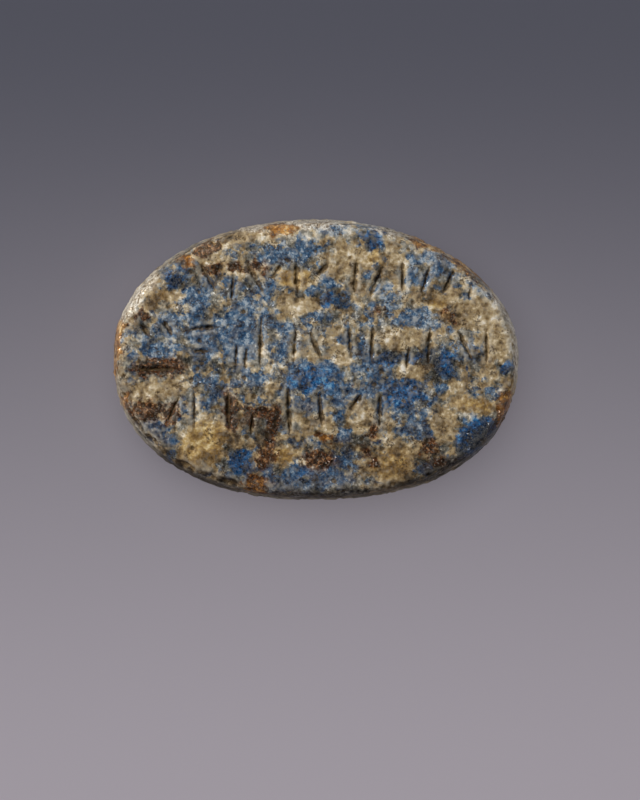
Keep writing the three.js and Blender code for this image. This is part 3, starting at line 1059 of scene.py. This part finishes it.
# %% Colour the cream and the grey, and lay the blue over them
cream_colour = colour_ramp(tree, tone, [
    (0.0, (0.070, 0.042, 0.016)),
    (0.25, (0.20, 0.130, 0.058)),
    (0.6, (0.45, 0.335, 0.178)),
    (0.85, (0.76, 0.64, 0.45)),
    (1.0, (0.94, 0.89, 0.79)),
])
ochre_colour = colour_ramp(tree, tone, [
    (0.0, (0.070, 0.036, 0.010)),
    (0.4, (0.25, 0.143, 0.040)),
    (0.75, (0.53, 0.355, 0.125)),
    (1.0, (0.82, 0.67, 0.38)),
])
grey_colour = colour_ramp(tree, tone, [
    (0.0, (0.014, 0.013, 0.010)),
    (0.35, (0.10, 0.097, 0.081)),
    (0.7, (0.28, 0.27, 0.23)),
    (1.0, (0.62, 0.59, 0.52)),
])
is_ochre = ragged_mask("ochre", stored("ochre"))
creams = blend_colours(tree, is_ochre, cream_colour, ochre_colour)
colour = blend_colours(tree, is_cream, grey_colour, creams)
colour = blend_colours(tree, is_blue, colour, blues)
threads = sum_up(tree, "MULTIPLY", medium["Seams"], 0.14)
colour = blend_colours(tree, threads, colour, (0.36, 0.36, 0.34, 1.0))
print("phases coloured:", len(tree.nodes), "nodes")

# %% [markdown]
# ## The stone's material: grime, painted shade and the bare rim
# What happened to the stone later is laid over its own colours, one coat after another, in the
# order in which it happened. Thin brown grime comes first, thickened towards the lower side as
# painted shade, and then the rim where the skin is rubbed bare, its near-white partly a painted
# highlight where the lamps strike it. The bare stone is granular, so its tone comes mostly from
# the single crystals and from clouds hardly larger than they are.

# %% Lay on the grime with its painted shade, and bare the rim with its painted highlight
WEIGHTS = {"grime_and_shade": 0.7, "bare": 0.85, "halo": 0.65, "rust": 0.92, "dust_and_shade": 0.8, "speck": 0.75}


def cover(below, above, mask, weight):
    """A colour laid over another where a mask says, no thicker than its weight."""
    return blend_colours(tree, sum_up(tree, "MULTIPLY", mask, weight), below, above)


# brown grime, which towards the lower side stands for painted shade
grime_and_shade_colour = colour_ramp(tree, tone, [
    (0.0, (0.016, 0.009, 0.004)),
    (0.5, (0.085, 0.048, 0.018)),
    (1.0, (0.27, 0.175, 0.08)),
])
is_grimy_or_shaded = ragged_mask("grime_and_shade", stored("grime_and_shade"))
colour = cover(colour, grime_and_shade_colour, is_grimy_or_shaded, WEIGHTS["grime_and_shade"])

grainy = sum_up(tree, "MULTIPLY_ADD", medium["Second tone"], 0.5, 0.16)
grainy = swing_by(
    tree, grainy, (fine["Second tone"], 0.55), (stored("lightness_and_painted_light"), 0.3), (cloudy(bent, 0.28), 1.6)
)
# near-white bare rim: rubbed skin, and painted highlight where the lamps strike it
bare_colour = colour_ramp(tree, grainy, [
    (0.0, (0.16, 0.105, 0.06)),
    (0.3, (0.42, 0.34, 0.24)),
    (0.6, (0.82, 0.77, 0.68)),
    (1.0, (0.98, 0.96, 0.92)),
])
is_bare = ragged_mask("bare", stored("bare"))
colour = cover(colour, bare_colour, is_bare, WEIGHTS["bare"])
print("grime and bare rim added:", len(tree.nodes), "nodes")

# %% [markdown]
# ## The stone's material: rust
# Iron has stained the stone red-brown. Round each stain is a wider halo of ochre, where the rust
# has crept into the stone, and along the rim the stains run to orange. The halo and the stain read
# the same stored number, but the halo's border lies farther out.

# %% Lay on the halo and the rust
halo_colour = colour_ramp(tree, tone, [
    (0.0, (0.030, 0.012, 0.004)),
    (0.45, (0.17, 0.078, 0.020)),
    (0.8, (0.46, 0.26, 0.08)),
    (1.0, (0.80, 0.66, 0.44)),
])
halo_share = sum_up(tree, "MULTIPLY_ADD", stored("rust"), 1.1, 0.05)
is_halo = ragged_mask("halo", halo_share, calm)
colour = cover(colour, halo_colour, is_halo, WEIGHTS["halo"])

rust_colour = colour_ramp(tree, grainy, [
    (0.0, (0.006, 0.003, 0.001)),
    (0.4, (0.036, 0.013, 0.005)),
    (0.7, (0.13, 0.043, 0.012)),
    (1.0, (0.40, 0.22, 0.10)),
])
orange_colour = colour_ramp(tree, tone, [
    (0.0, (0.030, 0.009, 0.002)),
    (0.4, (0.22, 0.080, 0.012)),
    (0.8, (0.62, 0.30, 0.07)),
    (1.0, (0.86, 0.62, 0.30)),
])
rust_share = swing_by(tree, stored("rust"), (medium["Tone"], 0.3))
is_rust = ragged_mask("rust", rust_share)
rusts = blend_colours(tree, stored("orange"), rust_colour, orange_colour)
colour = cover(colour, rusts, is_rust, WEIGHTS["rust"])
print("rust added:", len(tree.nodes), "nodes")

# %% [markdown]
# ## The stone's material: dust, rubbed lips and specks
# Brown dust has stayed in the strokes and pits, and it also darkens them as painted shade. Handling
# has rubbed the lips pale, less so where rust has hardened them, and that paleness is partly
# painted highlight. Last come a few black-brown specks: one large crystal in ten has one, and
# noise gives it a round outline.

# %% Lay on the dust and painted shade, pale the lips with rubbing and painted highlight, add the specks
PALE_LIP = (0.66, 0.61, 0.51, 1.0)
SPECK = {"crystals above": 0.9, "colour": (0.045, 0.028, 0.018, 1.0)}

# dust colour, also painted shade in the strokes and pits
dust_and_shade_colour = colour_ramp(tree, tone, [
    (0.0, (0.040, 0.026, 0.013)),
    (0.5, (0.11, 0.075, 0.038)),
    (1.0, (0.26, 0.19, 0.11)),
])
is_dusty_or_shaded = ragged_mask("dust_and_shade", stored("hollow"))
colour = cover(colour, dust_and_shade_colour, is_dusty_or_shaded, WEIGHTS["dust_and_shade"])
# pale lips: rubbing, and partly painted highlight
rubbing_and_highlight = sum_up(tree, "MULTIPLY_ADD", is_rust, -0.35, 0.5)
colour = cover(colour, PALE_LIP, stored("lip"), rubbing_and_highlight)

specks = place_group(tree, crystals, place=bent, size=0.33, seam=0.05)
speck_cells = sum_up(tree, "GREATER_THAN", specks["Tone"], SPECK["crystals above"])
speck_round = step_up(tree, cloudy(bent, 0.09, 1.0), 0.5, 0.58)
is_speck = sum_up(tree, "MULTIPLY", speck_cells, speck_round)
colour = cover(colour, SPECK["colour"], is_speck, WEIGHTS["speck"])
print("dust, lips and specks added:", len(tree.nodes), "nodes")

# %% [markdown]
# ## The stone's material: glints
# A worn polish is dull, but a few crystal faces are still flat and flash when the light catches
# them, most of all on the bare rim and among the rust. About one small crystal in six may do so,
# in some clouds of the stone and not in others, and none in the dust and painted shade of the
# hollows. Such a crystal is a little paler, smoother and more like a mirror, and it leans farther to
# one side than the rest, so only the few that face the lamp light up.

# %% Pick the crystals that flash
FLASHING_ABOVE = 0.82
GLINT = {"paler": 0.2, "mirror": 0.4, "smoother": 0.1, "lean": 0.8}
GLINT_COLOUR = (0.72, 0.68, 0.60, 1.0)

flashing = sum_up(tree, "GREATER_THAN", fine["Tone"], FLASHING_ABOVE)
flashing = sum_up(tree, "MULTIPLY", flashing, sum_up(tree, "SUBTRACT", 1.0, is_dusty_or_shaded))
glittery = step_up(tree, cloudy(calm, 0.9), 0.45, 0.6)
glittery = sum_up(tree, "MULTIPLY", glittery, sum_up(tree, "MULTIPLY_ADD", matte, -0.7, 1.0))
glittery = sum_up(tree, "MAXIMUM", glittery, is_rust)
glittery = sum_up(tree, "MAXIMUM", glittery, stored("bare"))
flashing = sum_up(tree, "MULTIPLY", flashing, glittery)
colour = cover(colour, GLINT_COLOUR, flashing, GLINT["paler"])
mirror = sum_up(tree, "MULTIPLY", flashing, GLINT["mirror"])
print("glints added:", len(tree.nodes), "nodes")

# %% [markdown]
# ## The stone's material: roughness and small tilts
# Dust and grime, with the painted shade that shares their masks, are rougher than the stone. Each
# small crystal tilts the surface a little its own way, and a fine bump adds the grit that is too
# small for the mesh. Tilts are added to the bump's normal, and the sum is made one unit long again.

# %% Roughness, tilt and grit
ROUGHNESS = {"stone": 0.27, "swing": 0.2, "dull": 0.4}
TILT = {"stone": 0.18, "less on cream": 0.1}
GRIT = {"size": 0.07, "height": 0.012, "strength": 0.5}  # mm, apart from the strength

dull = sum_up(tree, "MAXIMUM", is_dusty_or_shaded, is_grimy_or_shaded)
roughness = sum_up(tree, "MULTIPLY_ADD", medium["Second tone"], ROUGHNESS["swing"], ROUGHNESS["stone"])
roughness = sum_up(tree, "MULTIPLY_ADD", dull, ROUGHNESS["dull"], roughness)
roughness = sum_up(tree, "MULTIPLY_ADD", flashing, -GLINT["smoother"], roughness, clamp=True)

tilt_size = sum_up(tree, "MULTIPLY_ADD", matte, -TILT["less on cream"], TILT["stone"])
tilt_size = sum_up(tree, "MULTIPLY_ADD", flashing, GLINT["lean"], tilt_size)
tilted = add(tree, "VectorMath", operation="SCALE")
feed(tree, fine["Tilt"], tilted.inputs["Vector"])
feed(tree, tilt_size, tilted.inputs["Scale"])
grit = add(tree, "Bump")
feed(tree, GRIT["strength"], grit.inputs["Strength"])
feed(tree, GRIT["height"] * MM, grit.inputs["Distance"])
feed(tree, cloudy(bent, GRIT["size"], 3.0), grit.inputs["Height"])
leaning = add(tree, "VectorMath", operation="ADD")
feed(tree, grit.outputs["Normal"], leaning.inputs[0])
feed(tree, tilted.outputs["Vector"], leaning.inputs[1])
unit = add(tree, "VectorMath", operation="NORMALIZE")
feed(tree, leaning.outputs["Vector"], unit.inputs["Vector"])
print("tilts added:", len(tree.nodes), "nodes")

# %% Join it all in the shader
SHEEN_OF_STONE = 0.14  # specular level: far less than glass, because the surface is full of pores

shader = add(tree, "BsdfPrincipled")
feed(tree, colour, shader.inputs["Base Color"])
feed(tree, roughness, shader.inputs["Roughness"])
feed(tree, mirror, shader.inputs["Metallic"])
feed(tree, unit.outputs["Vector"], shader.inputs["Normal"])
feed(tree, SHEEN_OF_STONE, shader.inputs["Specular IOR Level"])
output = add(tree, "OutputMaterial")
feed(tree, shader.outputs["BSDF"], output.inputs["Surface"])
stone.data.materials.clear()
stone.data.materials.append(stone_finish)
print("stone material:", len(tree.nodes), "nodes")

# %% [markdown]
# ## The floor
# The floor is a plain sheet whose grey grows paler towards the viewer's side, as a studio sweep
# does under its lamps; this is painted light, lit near and shaded far. The change of colour is in
# the paint and not in the light, so it stays put when a lamp is moved.

# %% Lay the floor
FLOOR_HALF = 1.0  # m
# painted light: the far colour is the shaded end, the near colour the lit end
FLOOR_FAR_SHADE = (0.140, 0.142, 0.180, 1.0)
FLOOR_NEAR_LIGHT = (0.66, 0.60, 0.665, 1.0)
FLOOR_RUN = (0.017, -0.023)  # m along Y, where the far and the near colour are reached

shape = bmesh.new()
bmesh.ops.create_grid(shape, x_segments=1, y_segments=1, size=FLOOR_HALF)
floor_mesh = bpy.data.meshes.new("studio_floor")
shape.to_mesh(floor_mesh)
shape.free()
floor = bpy.data.objects.new("studio_floor", floor_mesh)
bpy.context.scene.collection.objects.link(floor)
print("floor:", 2 * FLOOR_HALF, "m square")

# %% Paint the floor, with its painted light
FLOOR_ROUGHNESS = 0.9
FLOOR_SHEEN = 0.2

floor_finish = bpy.data.materials.new("studio_floor_paint")
floor_finish.use_nodes = True
paint = floor_finish.node_tree
paint_shader = paint.nodes["Principled BSDF"]
axes = add(paint, "SeparateXYZ")
feed(paint, add(paint, "TexCoord").outputs["Object"], axes.inputs["Vector"])
painted_light_nearness = step_up(paint, axes.outputs["Y"], *FLOOR_RUN)
feed(paint, blend_colours(paint, painted_light_nearness, FLOOR_FAR_SHADE, FLOOR_NEAR_LIGHT), paint_shader.inputs["Base Color"])
feed(paint, FLOOR_ROUGHNESS, paint_shader.inputs["Roughness"])
feed(paint, FLOOR_SHEEN, paint_shader.inputs["Specular IOR Level"])
floor_mesh.materials.append(floor_finish)
print("floor paint:", len(paint.nodes), "nodes")

# %% [markdown]
# ## Light
# The main light is a soft lamp at the upper left, low enough to rake across the strokes, so one
# wall of each is dark and the other bright. A weak lamp lights the edge on the right and another
# the edge near the viewer, and one overhead with the grey surroundings fills the shadows. Their
# powers are small because they stand only a hand's breadth away. The floor has lamps of its own,
# as a backdrop has in a studio, and light linking keeps the raking lamps off it. The photograph
# shows almost no shadow beside the gem, so the gem blocks only the weaker of the floor's two lamps.

# %% Helpers for lamps
AIM = Vector((0, 0, FACE_Z * MM))


def only(piece):
    """A collection of one piece, for a lamp to light or to be blocked by."""
    group = bpy.data.collections.new("only_" + piece.name)
    group.objects.link(piece)
    return group


def lamp(name, lights_up, azimuth, elevation, distance, size, power, colour=(1.0, 1.0, 1.0)):
    """A square lamp that looks at the gem from a direction given in degrees."""
    light = bpy.data.lights.new(name, "AREA")
    light.size = size
    light.energy = power
    light.color = colour
    turn = math.radians(azimuth)
    rise = math.radians(elevation)
    away = Vector((math.cos(turn) * math.cos(rise), math.sin(turn) * math.cos(rise), math.sin(rise)))
    holder = bpy.data.objects.new(name, light)
    holder.location = AIM + away * distance
    holder.rotation_euler = away.to_track_quat("Z", "Y").to_euler()
    holder.light_linking.receiver_collection = lights_up
    bpy.context.scene.collection.objects.link(holder)
    print(name, "from", azimuth, elevation, "degrees,", power, "W")
    return holder


print("the lamps will look at", [round(value, 4) for value in AIM])

# %% Set the lamps
WARM = (1.0, 0.965, 0.91)
WARMER = (1.0, 0.95, 0.88)
COOL = (0.93, 0.96, 1.0)

the_gem = only(stone)
the_floor = only(floor)
lamp("key_lamp", the_gem, 145, 38, distance=0.22, size=0.055, power=0.47, colour=WARM)
lamp("edge_lamp", the_gem, 18, 18, distance=0.25, size=0.04, power=0.16)
lamp("low_lamp", the_gem, -80, 16, distance=0.25, size=0.05, power=0.07, colour=WARMER)
lamp("overhead_lamp", the_gem, 0, 90, distance=0.35, size=0.25, power=0.045, colour=COOL)
lamp("floor_lamp", the_floor, 120, 75, distance=0.35, size=0.35, power=0.28)
even_lamp = lamp("even_lamp", the_floor, 120, 75, distance=0.35, size=0.35, power=0.57)
even_lamp.light_linking.blocker_collection = the_floor

# %% Set the surroundings
GREY = (0.80, 0.82, 0.90, 1.0)
GREY_STRENGTH = 0.04

world = bpy.data.worlds.new("studio_grey")
world.use_nodes = True
surroundings = world.node_tree.nodes["Background"]
surroundings.inputs["Color"].default_value = GREY
surroundings.inputs["Strength"].default_value = GREY_STRENGTH
bpy.context.scene.world = world
bpy.context.scene.view_settings.view_transform = "Standard"
print("surroundings:", world.name)

# %% [markdown]
# ## Camera
# The photograph looks straight down on the gem. The camera stands 0.3 m above it, far enough for
# the flat view of a long lens, and the lens follows from how much of the gem's plane the picture
# shows. The gem sits a little above the picture's middle, so the camera stands a little below it.

# %% Place the camera
FRAME_HEIGHT = 0.03546  # m of the gem's plane that the picture's 800 rows show
FRAME_MIDDLE = Vector((0.00018, -0.00179, 0))
CAMERA_HEIGHT = 0.30
GIRDLE = 0.0013
SENSOR = 36  # mm

camera_data = bpy.data.cameras.new("camera")
camera_data.sensor_width = SENSOR
camera_data.lens = SENSOR * (CAMERA_HEIGHT - GIRDLE) / FRAME_HEIGHT
camera_data.clip_start = 0.01
camera = bpy.data.objects.new("camera", camera_data)
camera.location = FRAME_MIDDLE + Vector((0, 0, CAMERA_HEIGHT))
bpy.context.scene.collection.objects.link(camera)
bpy.context.scene.camera = camera
print("lens:", round(camera_data.lens, 1), "mm")
